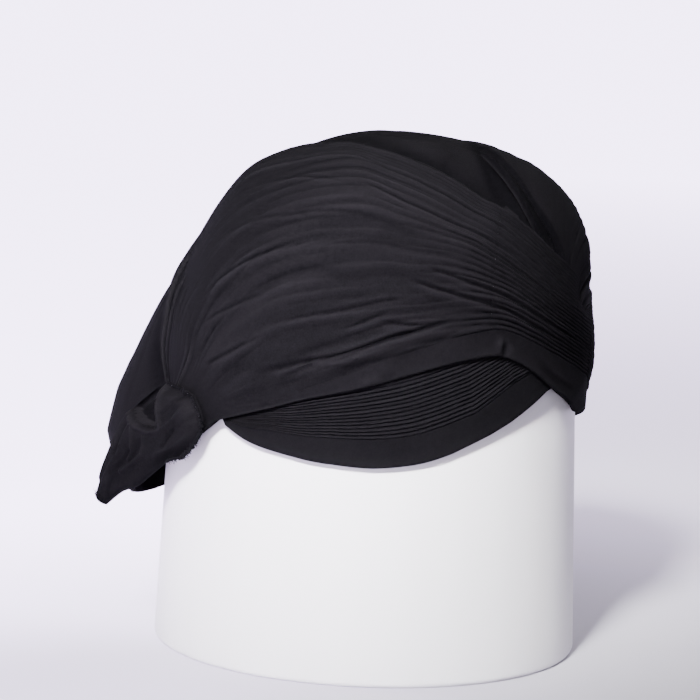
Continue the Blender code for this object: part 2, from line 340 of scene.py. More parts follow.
def drapeRadius(azimuth, elevation):
    side = 1 / np.hypot(np.cos(azimuth) / hatForm["halfLength"], np.sin(azimuth) / hatForm["halfWidth"])
    low = hatForm["squareFromCosine"]
    frontness = smooth((np.cos(azimuth) - low) / (1 - low))
    power = hatForm["backSquareness"] + (hatForm["frontSquareness"] - hatForm["backSquareness"]) * frontness
    across = np.abs(np.cos(elevation)) / side
    upright = np.abs(np.sin(elevation)) / hatForm["domeRise"]
    dome = (across**power + upright**power) ** (-1 / power)
    wall = side / np.maximum(np.cos(elevation), hatForm["steepestCosine"])
    return np.where(elevation >= 0, dome, wall)


def pouchSwell(azimuth, elevation):
    fromBack = 180 - np.abs(np.degrees(azimuth))
    side = smooth((pouchShape["halfAngle"] - fromBack) / (pouchShape["halfAngle"] - pouchShape["flatAngle"]))
    return side * between(pouchProfile, np.degrees(elevation)) * mm


def valleySink(azimuth, elevation):
    middle, halfAngle, depth = [between(valleyRows, np.degrees(elevation), column) for column in (1, 2, 3)]
    away = np.abs(np.degrees(azimuth) - middle)
    return valleyShape["depth"] * mm * depth * smooth(valleyShape["reach"] - away / halfAngle)


def formRadius(azimuth, elevation):
    return drapeRadius(azimuth, elevation) + pouchSwell(azimuth, elevation)


# Closed sheets: a fine outer face, a coarse inner face, and a rim between their edges. A round one joins its
# first column to its last and closes at a point in each face.
def shellMesh(name, outer, inner, flat, wearAndPaintedLight, coarse, poles=None):
    inner, innerFlat = inner[::coarse, ::coarse], flat[::coarse, ::coarse]
    points, maps, wearsAndPaintedLight, faces = [], [], [], []

    def layGrid(grid, tone, start):
        kept = grid if poles is None else grid[:-1]
        points.append(kept.reshape(-1, 3))
        wearsAndPaintedLight.append(np.broadcast_to(tone, grid.shape[:2])[: kept.shape[0]].reshape(-1))
        index = np.arange(kept.shape[0] * kept.shape[1]).reshape(kept.shape[:2]) + start
        return index if poles is None else np.concatenate([index, index[:1]])

    def quadCorners(grid):
        wide, high = grid.shape[0] - 1, grid.shape[1] - 1
        return [grid[i:i + wide, j:j + high] for i, j in ((0, 0), (1, 0), (1, 1), (0, 1))]

    def addQuads(index, spots, order):
        faces.extend(np.stack(quadCorners(index)[::order], -1).reshape(-1, 4).tolist())
        maps.extend(np.stack(quadCorners(spots)[::order], -2).reshape(-1, 4, 2))

    def addRim(line, rising):                 # line picks one edge of a grid
        outside, inside, outsideFlat, insideFlat = first[line], second[line], flat[line], innerFlat[line]
        for place in range(len(inside) - 1):
            run = list(range(place * coarse, (place + 1) * coarse + 1))[::1 if rising else -1]
            back = [place + 1, place] if rising else [place, place + 1]
            faces.append([int(outside[k]) for k in run] + [int(inside[k]) for k in back])
            maps.append(np.array([outsideFlat[k] for k in run] + [insideFlat[k] for k in back]))

    def addPole(index, spots, pole, order):
        points.append(np.array([pole]))
        wearsAndPaintedLight.append(np.array([0.5]))
        last = sum(len(part) for part in points) - 1
        middle = spots[:, -1].mean(0)
        for k in range(index.shape[0] - 1):
            faces.append([int(index[k, -1]), int(index[k + 1, -1]), last][::order])
            maps.append(np.array([spots[k, -1], spots[k + 1, -1], middle][::order]))

    first = layGrid(outer, wearAndPaintedLight, 0)
    # The inner faces get a pale tone of 0.8: painted light standing in for the light that reaches inside the
    # hat
    second = layGrid(inner, 0.8, int(first.max()) + 1)
    addQuads(first, flat, 1)
    addQuads(second, innerFlat, -1)
    addRim(np.s_[:, 0], False)
    if poles is None:
        addRim(np.s_[:, -1], True)
        addRim(np.s_[0], True)
        addRim(np.s_[-1], False)
    else:
        addPole(first, flat, poles[0], 1)
        addPole(second, innerFlat, poles[1], -1)

    allPoints = np.concatenate(points)
    volume = 0.0
    for index, sign in ((first, 1), (second, -1)):
        a, b, c, d = quadCorners(allPoints[index])
        volume += sign * (np.cross(b - a, c - a) * a + np.cross(c - a, d - a) * a).sum()
    if volume < 0:
        faces = [face[::-1] for face in faces]
        maps = [spots[::-1] for spots in maps]
    mesh = bpy.data.meshes.new(name)
    mesh.from_pydata(allPoints.tolist(), [], faces)
    mesh.uv_layers.new(name="cloth").data.foreach_set("uv", np.concatenate(maps).astype(np.float32).ravel())
    shade = mesh.attributes.new("wearAndPaintedLight", "FLOAT", "POINT")
    shade.data.foreach_set("value", np.clip(np.concatenate(wearsAndPaintedLight), 0, 1).astype(np.float32))
    mesh.shade_smooth()
    mesh.set_sharp_from_angle(angle=math.radians(70))
    return mesh


def addPiece(name, mesh, material, slot, *nodes):
    piece = addObject(name, mesh)
    mesh.materials.clear()
    mesh.materials.append(material)
    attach(piece, "root")
    if nodes:
        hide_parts(*nodes)
    return piece


# The wraps
wrapRows = [   # lower edge azimuth and elevation, upper edge azimuth and elevation, the same on the left
               # wrap, how far above the lower edge the wrap beneath begins and ends, all in degrees
    (104.4, -14.4, 128.0, -8.4, 128.0, -8.4, -20, 9),
    (98.0, -13.0, 133.5, 1.0, 133.5, 1.0, -20, 9),
    (91.0, -11.0, 137.0, 12.0, 137.0, 12.0, -20, 10),
    (83.0, -8.6, 147.0, 26.0, 145.0, 24.0, -20, 12),
    (75.0, -6.0, 152.0, 42.0, 148.0, 38.0, -20, 13),
    (67.0, -3.8, 148.0, 58.0, 142.0, 53.0, -20, 14),
    (58.8, -1.7, 128.0, 69.0, 110.0, 66.0, -20, 15),
    (48.5, 1.5, 88.0, 71.5, 52.0, 67.5, -20, 16),
    (39.6, 4.1, 57.0, 63.5, 18.0, 61.5, -20, 17),
    (30.7, 6.0, 37.0, 54.0, 1.0, 54.5, -20, 19),
    (22.6, 6.5, 22.5, 44.0, -3.6, 45.0, -20, 24),
    (14.7, 3.8, 10.0, 35.8, -3.2, 36.0, -20, 36),
    (4.5, -1.6, -2.0, 28.0, -2.5, 28.5, -10, 60),
    (-9.5, -6.5, -16.0, 22.5, -16.0, 22.5, 8, 60),
    (-21.0, -10.0, -29.0, 19.5, -29.0, 19.5, 16, 60),
    (-31.0, -13.2, -40.0, 16.0, -40.0, 16.0, 19, 60),
    (-43.0, -17.2, -52.0, 12.0, -52.0, 12.0, 21, 60),
    (-55.0, -19.4, -64.0, 7.5, -64.0, 7.5, 19, 60),
    (-67.0, -20.1, -75.0, 2.5, -75.0, 2.5, 15, 60),
    (-79.0, -19.2, -85.0, -2.5, -85.0, -2.5, 11, 60),
    (-89.0, -17.5, -94.0, -6.5, -94.0, -6.5, 7, 60),
    (-97.0, -14.5, -101.0, -9.5, -101.0, -9.5, 3, 60),
]
wrapCloth = {
    "thickness": 1.2,             # mm from here on
    "layerGap": 0.65,
    "cadPleatDepth": 0.5,
    "pleatDepth": 1.0,
    "broadFolds": 0.85,
    "middlingFolds": 0.60,
    "fineFolds": 0.34,
    "foldLines": 0.55,
    "gatherDepth": 0.18,
    "stitchDent": 0.30,
    "stitchWidth": 0.8,
    "deepest": -0.5,
    "edgeRound": 0.9,
    "borderDrop": 0.9,
    "pleats": 25,                 # numbers of pleats, and of steps in the mesh
    "columns": 384,
    "hemSteps": 14,
    "stepsPerPleat": 6,
    "borderSteps": 4,
    "coarse": 8,                  # fine steps for each step of the inner face
    "looseDepth": 0.62,           # what is left of a pleat where it isn't held
    "fadeLength": 0.13,           # share of the length over which the pleats open behind the stitches
    "leftStitchesLater": 0.085,   # share of the length
    "ramp": 10.0,                 # degrees over which it climbs onto the other wrap
    "rampsEarly": 1.5,            # how many ramps earlier it begins and later it ends
    "widestHem": 0.45,            # share of the wrap's whole sweep
    "hemFollows": 0.4,            # share of a sag that the hem's seam follows
}
hemRows = [      # share of the wrap's length, width of its plain hem
    (0.0, 3.0), (0.20, 3.5), (0.31, 6.5), (0.36, 9.0), (0.45, 9.8), (0.57, 10.3), (0.62, 12.5), (0.69, 13.0),
    (0.74, 8.5), (0.80, 8.6), (0.88, 10.0), (0.94, 8.5), (1.0, 4.0)]
leftHemDrops = [    # share of the left wrap's length, how far its lower edge sags in mm
    (0, 0), (0.62, 0), (0.645, -1.2), (0.665, 0.2), (0.70, 2.8), (0.727, 4.0), (0.771, 4.8), (0.81, 4.0),
    (0.849, 2.8), (0.887, 1.2), (0.92, 0.4), (1, 0)]
rightHemDrops = [
    (0, 0), (0.60, 0), (0.62, 1.2), (0.641, 2.5), (0.661, 3.3), (0.680, 5.0), (0.70, 4.6), (0.727, 1.5),
    (0.76, -0.5), (0.80, -1.7), (0.85, -1.5), (0.90, 0), (1, 0)]
endSags = [(0, 4.5), (0.02, 2.6), (0.033, 0.5), (0.045, 0), (1, 0)]     # at the tail, straight down
leftBorders = [     # share of its length, how far its upper border reaches beyond the CAD's in mm
    (0, 0.8), (0.42, 0.8), (0.455, 5.0), (0.475, 4.6), (0.50, 2.6), (0.53, 1.6), (0.56, 1.4), (0.60, 0.8),
    (1, 0.8)]
rightBorders = [
    (0, 0.8), (0.30, 0.8), (0.38, 2.8), (0.47, 3.0), (0.52, 1.4), (0.56, 0.8), (1, 0.8)]
leftBulges = [      # share of its length, of its height, mm, half length and half height as shares
    (0.475, 0.52, 2.4, 0.05, 0.22), (0.490, 0.34, 1.4, 0.03, 0.12), (0.400, 0.95, -1.8, 0.05, 0.20)]
rightBulges = [
    (0.170, 0.84, -2.2, 0.050, 0.38), (0.257, 0.92, 1.9, 0.030, 0.20), (0.690, 0.90, -3.8, 0.040, 0.26)]
stitchLineRows = [   # share of the pleats' height, share of the wrap's length where stitches hold them
    (0.0, 0.503), (0.12, 0.503), (0.26, 0.507), (0.41, 0.511), (0.57, 0.517), (0.75, 0.525), (1.0, 0.539)]

# Creases on the wraps: where each begins and ends along it, how high it lies among the pleats at its start,
# middle and end, how deep it is and how wide, in mm. A depth below 0 is a rolled ridge.
rightCreases = [
    (0.165, 0.300, 0.515, 0.460, 0.440, 1.7, 1.9),
    (0.150, 0.260, 0.435, 0.360, 0.315, 0.8, 1.7),
    (0.180, 0.450, 0.118, 0.066, 0.092, 1.8, 2.0),
    (0.205, 0.375, 0.056, 0.056, 0.038, 1.0, 1.7),
    (0.305, 0.375, 0.146, 0.142, 0.166, 1.3, 1.7),
    (0.345, 0.425, 0.145, 0.098, 0.100, 1.4, 1.7),
    (0.385, 0.620, 0.290, 0.180, 0.140, 1.4, 1.7),
    (0.415, 0.660, 0.338, 0.268, 0.290, 1.1, 1.7),
    (0.220, 0.365, 0.770, 0.740, 0.610, 0.7, 1.9),
    (0.180, 0.325, 0.645, 0.600, 0.505, 0.7, 1.9),
    (0.270, 0.385, 0.552, 0.530, 0.485, 0.6, 1.8),
    (0.350, 0.560, 0.662, 0.615, 0.662, 0.6, 1.7),
    (0.110, 0.240, 0.300, 0.230, 0.200, 0.8, 2.0),
    (0.100, 0.210, 0.620, 0.600, 0.560, 0.7, 2.0),
    (0.240, 0.400, 0.220, 0.195, 0.200, 0.8, 1.8),
    (0.300, 0.470, 0.420, 0.400, 0.415, 0.6, 1.7),
    (0.230, 0.420, 0.860, 0.840, 0.800, 0.6, 1.8),
    (0.400, 0.560, 0.800, 0.800, 0.820, 0.5, 1.6),
    (-0.03, 0.120, 0.560, 0.500, 0.460, 1.5, 1.6),
    (-0.04, 0.190, 0.985, 0.900, 0.830, -1.2, 2.4),
    (-0.04, 0.180, 0.930, 0.830, 0.720, -0.8, 2.0),
]
leftCreases = [
    (0.150, 0.290, 0.480, 0.430, 0.410, 1.5, 1.9),
    (0.190, 0.430, 0.150, 0.080, 0.100, 1.7, 2.0),
    (0.120, 0.250, 0.330, 0.280, 0.250, 0.9, 1.9),
    (0.300, 0.420, 0.200, 0.170, 0.190, 1.3, 1.7),
    (0.210, 0.350, 0.700, 0.660, 0.580, 0.8, 1.9),
    (0.330, 0.480, 0.560, 0.520, 0.540, 0.7, 1.8),
    (0.400, 0.600, 0.300, 0.240, 0.220, 1.2, 1.8),
    (0.250, 0.400, 0.840, 0.800, 0.740, 0.6, 1.9),
    (-0.03, 0.110, 0.420, 0.470, 0.520, 1.4, 1.6),
    (-0.04, 0.190, 0.985, 0.900, 0.830, -1.2, 2.4),
    (-0.04, 0.170, 0.920, 0.820, 0.720, -0.8, 2.0),
]
# Marks in the hem: place along the wrap, mm above the lower edge, height, half length and half width in mm
hemMarks = [
    (0.520, 5.0, 0.9, 2.6, 2.6),
    (0.529, 2.6, -1.2, 1.8, 2.0),
    (0.541, 3.6, 0.6, 2.4, 1.5),
    (0.610, 4.0, -0.9, 5.0, 0.9),
    (0.640, 5.4, -0.9, 5.5, 0.9),
    (0.625, 6.6, 0.6, 9.0, 1.3),
    (0.330, 2.2, 0.5, 4.0, 2.0),
    (0.352, 2.0, -0.5, 2.5, 1.5),
]


def evenSpacing(edgeColumns):                 # shares of a wrap's length against shares of its table
    along = np.linspace(0, 1, 400)
    ends = [np.radians(through(wrapRows, column, along)) for column in edgeColumns]
    steps = [np.linalg.norm(np.diff(placeAt(ends[k], ends[k + 1], 1.0), axis=0), axis=-1) for k in (0, 2)]
    length = np.concatenate([[0], np.cumsum(np.maximum(*steps))])
    return length / length[-1], along


# Directions, radii and measures of a wrap's grid before its folds
def layWrap(side, liftLow, liftHigh, share, hemShare, pleatShare, border, borderWidth):
    edgeColumns = (0, 1, 2, 3) if side > 0 else (0, 1, 4, 5)
    row = np.interp(share, *evenSpacing(edgeColumns))[:, None]
    ends = [np.radians(through(wrapRows, column, row)) for column in edgeColumns]
    low = placeAt(ends[0] * side, ends[1], 1.0) - hatCentre
    high = placeAt(ends[2] * side, ends[3], 1.0) - hatCentre
    sweep = np.arccos(np.clip((low * high).sum(-1), -1, 1))
    hem = np.minimum(between(hemRows, share)[:, None] / hatRadius, wrapCloth["widestHem"] * sweep)
    drop = between(rightHemDrops if side > 0 else leftHemDrops, share)[:, None] / hatRadius
    hem = hem - wrapCloth["hemFollows"] * drop
    rise = hem * hemShare - drop * (1 - hemShare) + (sweep - hem) * pleatShare
    rise = rise + borderWidth[:, None] / hatRadius * border
    heading = low * np.sin(sweep - rise)[..., None] + high * np.sin(rise)[..., None]
    heading = heading / np.sin(sweep)[..., None]
    azimuth = np.arctan2(-heading[..., 0], -heading[..., 1])
    elevation = np.arcsin(np.clip(heading[..., 2], -1, 1))
    elevation = elevation - between(endSags, share)[:, None] / hatRadius * (1 - hemShare)
    ramp, early = math.radians(wrapCloth["ramp"]), wrapCloth["rampsEarly"]
    above = smooth((rise - np.radians(through(wrapRows, 6, row))) / ramp + early)
    below = smooth(early - (rise - np.radians(through(wrapRows, 7, row))) / ramp)
    lift = (liftLow + (liftHigh - liftLow) * above * below) * mm
    base = formRadius(azimuth, elevation) + lift
    return azimuth, elevation, base, *[(angle + drop) * hatRadius for angle in (rise, sweep, hem)]


def creaseHeights(creases, along, high, pleatedHeight):
    total = np.zeros(np.broadcast(along, high).shape)
    for start, end, first, middle, last, depth, width in creases:
        share = np.clip((along - start) / (end - start), 0, 1)
        line = first * (1 - share) * (1 - 2 * share) + 4 * middle * share * (1 - share)
        line = line + last * share * (2 * share - 1)
        away = (high - line) * pleatedHeight
        fade = smooth((along - start) / 0.045) * smooth((end - along) / 0.045)
        groove = -bell(away / (0.34 * width))
        bank = 0.60 * bell((away + width) / (0.75 * width))
        lip = 0.25 * bell((away - 0.9 * width) / (0.9 * width))
        total += depth * fade * (groove + bank + lip)
    return total


# The left wrap's upper border is turned in along a deep crease that shows beside the crown's panel. The
# crease is given as shares of the wrap's length and of its height.
domeCrease = [
    (0.455, 1.055), (0.470, 1.048), (0.485, 1.028), (0.500, 1.0), (0.510, 0.973), (0.526, 0.947),
    (0.539, 0.915), (0.545, 0.865), (0.552, 0.787), (0.560, 0.707), (0.568, 0.60), (0.578, 0.48)]
domeShape = {
    "shownFrom": 0.43,            # share of the wrap's length
    "shownTo": 0.62,
    "lowest": 0.48,               # share of its height
    "bulge": 1.5,                 # mm from here on
    "bulgeWidth": 17.0,
    "crease": 1.2,
    "creaseWidth": 0.9,
    "turnedIn": 0.9,
    "backing": 1.3,               # the turned-in cloth lies double there
    "edgeRoll": 0.5,
    "edgeAway": 4.3,
    "edgeWidth": 0.45,
    "shadeWidth": 1.5,
    "edgeBelow": 0.87,            # share of the height again
    "bulgeBelow": 0.92,
    "creaseDark": 0.95,           # shares of the worn tone lost to painted shade along the crease, and gained as a painted highlight on the rolled edge
    "edgePale": 0.8,
}


# How the left wrap stands out beside its deep crease and drops beyond it, in mm, and the painted shade and
# painted highlight on it there
def turnDomeBorder(shape):
    settings = domeShape
    along, high = shape["along"], shape["high"]
    length, pleatedMm = shape["alongMm"].max(), (shape["sweepMm"] - shape["hemMm"]).mean()
    height = high * pleatedMm + np.maximum(shape["riseMm"] - shape["sweepMm"], 0)
    spots = np.stack(np.broadcast_arrays(along * length, height), -1)
    away = awayFromLine(spots, np.array(domeCrease) * [length, pleatedMm])
    upwards = np.array(domeCrease)[::-1]
    creaseAt = np.interp(height / pleatedMm, upwards[:, 1], upwards[:, 0])
    signed = np.where(along > creaseAt, away, -away)
    beyond = smooth((signed + 0.6) / 1.2)
    shown = smooth((high - settings["lowest"]) / 0.12) * smooth((settings["shownTo"] - along) / 0.05)
    shown = shown * smooth((along - settings["shownFrom"]) / 0.03)
    lower = smooth((settings["bulgeBelow"] - high) / 0.25)
    broad = settings["bulge"] * lower * (1 - beyond) * bell(away / settings["bulgeWidth"])
    broad = (broad - settings["turnedIn"] * beyond) * shown
    edge = bell((signed - settings["edgeAway"]) / settings["edgeWidth"])
    edge = edge * smooth((settings["edgeBelow"] - height / pleatedMm) / 0.08)
    narrow = (settings["edgeRoll"] * edge - settings["crease"] * bell(away / settings["creaseWidth"])) * shown
    # Painted shade along the crease and over the turned-in strip, with a painted highlight on the rolled edge
    dark = settings["creaseDark"] * bell((signed + 0.7) / settings["shadeWidth"]) + beyond * (1 - edge)
    return broad, narrow, 1 + (settings["edgePale"] * edge - np.minimum(dark, 1)) * shown, shown


def bulgeHeights(bulges, along, high):
    total = 0
    for place, share, rise, halfLength, halfHeight in bulges:
        total = total + rise * bell((along - place) / halfLength) * bell((high - share) / halfHeight)
    return total


# The height of the folds over the smooth wrap, in mm. Pleats are held by the stitches and open behind them
def foldWrap(shape, seed, creases, isLeft):
    settings = wrapCloth
    along, alongMm, riseMm, high = [shape[name] for name in ("along", "alongMm", "riseMm", "high")]
    inHem, inBorder = shape["hemShare"] < 1, shape["border"] > 0
    pleatedMm = shape["sweepMm"] - shape["hemMm"]
    stitch = between(stitchLineRows, high) + settings["leftStitchesLater"] * isLeft
    ragged = 0.07 * (noise(high * 23, 0 * high, seed + 5) - 0.5)
    held = smooth((along - stitch + settings["fadeLength"] + ragged) / settings["fadeLength"])
    held = held * (1 - (0.75 if isLeft else 0.58) * smooth((high - 0.42) / 0.3))
    held = held * (1 - 0.85 * isLeft * smooth((0.62 - along) / 0.04) * smooth((high - 0.08) / 0.15))
    drift = 2.2 * (noise(alongMm / 60, high * 5, seed + 1) - 0.5) * (1 - held)
    phase = high * settings["pleats"] + drift + 0.10 * (noise(alongMm / 16, high * 40, seed + 4) - 0.5)
    which = np.floor(phase)
    part = phase - which
    crest = 0.72 + 0.56 * noise(which * 3.7, alongMm / 45, seed + 2)
    ridge = crest * np.abs(np.sin(math.pi * phase)) ** 0.6 - 0.5
    shows = 0.15 + 0.85 * smooth((noise(alongMm / 40, which * 1.7, seed + 6) - 0.40) * 4)
    roomy = smooth((pleatedMm / settings["pleats"] - 1.8) / 1.6) * smooth((along - 0.05) / 0.10)
    turned = part**1.3 * smooth((1 - part) / 0.2) - 0.35
    slack = (1 - held) * settings["looseDepth"] * roomy * shows * turned
    height = settings["pleatDepth"] * (held * ridge + slack)
    height = np.where(inHem | inBorder, 0.05, height)

    loose = (0.14 + 0.86 * (1 - held)) * smooth(1.6 * shape["hemShare"])
    lie = high + 0.035 * (noise(alongMm / 44, high * 6, seed + 3) - 0.5)
    broad = settings["broadFolds"] * (noise(alongMm / 62, lie * 7.5, seed + 11) - 0.5)
    middling = settings["middlingFolds"] * (noise(alongMm / 40, lie * 17, seed + 12) - 0.5)
    fine = settings["fineFolds"] * (noise(alongMm / 26, lie * 38, seed + 13) - 0.5)
    lines = settings["foldLines"] * ridged(alongMm / 58, lie * 13, seed + 14) ** 9
    finer = 0.06 + 0.94 * roomy
    height = height + loose * (broad + finer * (middling + fine - lines))
    gathered = settings["gatherDepth"] * smooth(1 - along / 0.07)
    height = height + gathered * (np.abs(np.sin(math.pi * 7.5 * high)) ** 0.8 - 0.55)
    height = height + creaseHeights(creases, along, high, pleatedMm) * np.where(inBorder, 0, 1)
    dent = settings["stitchDent"] * bell((along - stitch) * alongMm.max() / settings["stitchWidth"])
    height = height - dent * np.where(inHem, 0.0, 1.0)
    for place, above, bump, halfLength, halfWidth in hemMarks:
        across = (along - place) * alongMm.max() / halfLength
        height = height + bump * bell(across) * bell((riseMm - above) / halfWidth)
    height = height + 0.35 * (noise(alongMm / 13, riseMm / 6.5, seed + 21) - 0.5) * np.where(inHem, 1.0, 0.3)
    over = height - settings["deepest"]
    return settings["deepest"] + 0.5 * (over + np.sqrt(over**2 + 0.06))


def spreadOut(height, reach):                 # the mean height of a strip across the pleats
    padded = np.pad(height, ((0, 0), (reach + 1, reach)), mode="edge")
    total = np.cumsum(padded, axis=1)
    return (total[:, 2 * reach + 1:] - total[:, : -2 * reach - 1]) / (2 * reach + 1)


def roundedEdge(away, radius, depth):
    inside = np.clip(1 - away / radius, 0, 1)
    return -depth * (1 - np.sqrt(1 - inside**2))


def makeWrap(name, side, liftLow, liftHigh, creases, seed, isLeft):
    settings = wrapCloth
    share = np.linspace(0, 1, settings["columns"] + 1)
    hemRun = 0.5 - 0.5 * np.cos(np.linspace(0, math.pi, settings["hemSteps"] + 1))
    pleatRun = np.linspace(0, 1, settings["pleats"] * settings["stepsPerPleat"] + 1)[1:]
    borderRun = np.linspace(0, 1, settings["borderSteps"] + 1)[1:]
    hemShare = np.concatenate([hemRun, np.ones(len(pleatRun) + len(borderRun))])[None]
    high = np.concatenate([hemRun * 0, pleatRun, np.ones(len(borderRun))])[None]
    border = np.concatenate([hemRun * 0, pleatRun * 0, borderRun])[None]
    borderWidth = between(leftBorders if isLeft else rightBorders, share)
    azimuth, elevation, base, riseMm, sweepMm, hemMm = layWrap(
        side, liftLow, liftHigh, share, hemShare, high, border, borderWidth)
    third = high.shape[1] // 3
    middle = placeAt(azimuth[:, third], elevation[:, third], base[:, third])
    alongMm = np.concatenate([[0], np.cumsum(np.linalg.norm(np.diff(middle, axis=0), axis=-1))])[:, None] / mm
    shape = {"along": share[:, None], "alongMm": alongMm, "riseMm": riseMm, "sweepMm": sweepMm,
             "hemMm": hemMm, "high": high, "hemShare": hemShare, "border": border}
    height = foldWrap(shape, seed, creases, isLeft)
    broad = bulgeHeights(leftBulges if isLeft else rightBulges, share[:, None], high)
    shade, doubled = 1.0, 0.0
    if isLeft:
        turned, narrow, shade, doubled = turnDomeBorder(shape)
        broad, height = broad + turned, height * (1 - 0.6 * doubled) + narrow
    edgeMm = sweepMm + borderWidth[:, None]
    depth = settings["thickness"] * 0.75
    for away in (riseMm, edgeMm - riseMm, alongMm, alongMm[-1] - alongMm):
        height = height + roundedEdge(np.maximum(away, 0), settings["edgeRound"], depth)
    broad = broad - settings["borderDrop"] * border * smooth((borderWidth[:, None] - 0.8) / 2)
    outer = placeAt(azimuth, elevation, base + (settings["thickness"] + height + broad) * mm)
    inner = placeAt(azimuth, elevation, base + (broad - domeShape["backing"] * doubled) * mm)
    flat = np.stack(np.broadcast_arrays(alongMm * mm, riseMm * mm), -1)
    # Painted shade: darker in the grooves between pleats and folds, paler on the crests, which also stands
    # for wear
    crests = height - spreadOut(height, settings["stepsPerPleat"])
    wearAndPaintedLight = 0.5 + 0.5 * np.clip(crests / 0.6, -1, 1) + 0.15 * np.clip(height / 0.8, -1, 1)
    # The dome border's shade is painted shade and painted highlight
    wearAndPaintedLight = wearAndPaintedLight * shade - 0.3 * (1 - shade)
    wearAndPaintedLight = wearAndPaintedLight - 0.28 * bell(alongMm / 9)        # painted shade where it is gathered into the tail
    mesh = shellMesh(name, outer, inner, flat, wearAndPaintedLight, settings["coarse"])
    return mesh, {"along": share, "high": high[0], "hemShare": hemShare[0], "points": outer}


# The crown
crownRim = [     # azimuth either side, elevation of the lower edge
    (0, 3), (12, -2), (24, -8), (38, -14), (52, -17), (66, -17.5), (80, -16.5), (92, -14.5), (102, -13.5),
    (112, -17), (122, -22), (134, -28), (148, -33), (164, -35), (180, -35.5)]
crownCloth = {
    "thickness": 1.2,
    "columns": 320,
    "rows": 160,
    "coarse": 8,
    "slackFrom": 124,             # the pouch sags sideways between these azimuths
    "slackRise": 20,
    "slackFall": 24,
    "topRise": 1.5,               # mm, on the far side of the dome's top
    "topAt": (-125, 85),          # azimuth and elevation
    "topWidth": 12,
    "borderGroove": 0.55,         # mm, where a wrap's border lies on the crown
    # Widths of a groove and of painted shade beside the wraps' borders, in mm
    "borderShade": 2.5,
    "rightShade": 11.0,           # wider, because the right wrap lies higher; a width of painted shade beside its border
    "creaseShade": 3.5,           # mm, painted shade beside the left wrap's deep crease at the front
    "hemWidth": 5.5,
    "hemDent": 0.35,
    "hemRise": 0.25,
}
pouchSlack = [   # elevation, how far the sides of the pouch sag outwards in mm
    (-36, 8.0), (-30, 9.5), (-26, 9.2), (-20, 7.0), (-16, 5.4), (-9, 2.6), (-3, 0.8), (3, 0)]
pouchCreases = [   # azimuth and elevation where each begins and ends, depth, width in mm
    (130, -8.0, 143, -13.0, 0.6, 1.1),
    (130, -9.4, 141, -16.5, 0.5, 1.1),
    (118, -18, 138, -30, 0.5, 2.5),
    (-130, -8.0, -142, -14.0, 1.4, 1.7),
    (-130, -9.6, -141, -17.0, 1.3, 1.7),
    (160, -4, 166, -26, 0.35, 4.0),
    (-158, -2, -163, -24, 0.35, 4.0),
]


def creasesOnForm(creases, azimuth, elevation):
    total = np.zeros(azimuth.shape)
    degree = math.radians(1) * hatRadius          # in mm
    for fromAz, fromEl, toAz, toEl, depth, width in creases:
        stretch = math.cos(math.radians((fromEl + toEl) / 2))
        across = (np.degrees(azimuth) - fromAz + 180) % 360 - 180
        run = np.stack([across * stretch, np.degrees(elevation) - fromEl], -1)
        line = np.array([(toAz - fromAz) * stretch, toEl - fromEl])
        length = np.linalg.norm(line)
        share = np.clip((run @ line) / length**2, 0, 1)
        away = (run[..., 0] * line[1] - run[..., 1] * line[0]) / length * degree
        beyond = np.linalg.norm(run - share[..., None] * line, axis=-1) * degree
        fade = smooth(share / 0.12 + 0.3) * smooth((1 - share) / 0.5) * (beyond < 3 * width)
        lip = 0.6 * bell((away - 0.9 * width) / (0.6 * width))
        total += depth * fade * (lip - bell(away / (0.35 * width)))
    return total


# How far each place on the crown is from a wrap's upper border, in mm
def awayFromBorder(side, borders, azimuth, elevation):
    share = np.linspace(0, 0.72, 90)
    run, rise = layWrap(side, 0, 0, share, 1.0, 1.0, 1.0, between(borders, share))[:2]
    spots, line = placeAt(azimuth, elevation, 1.0), placeAt(run[:, 0], rise[:, 0], 1.0)
    return awayFromLine((spots - hatCentre) * hatRadius, (line - hatCentre) * hatRadius)


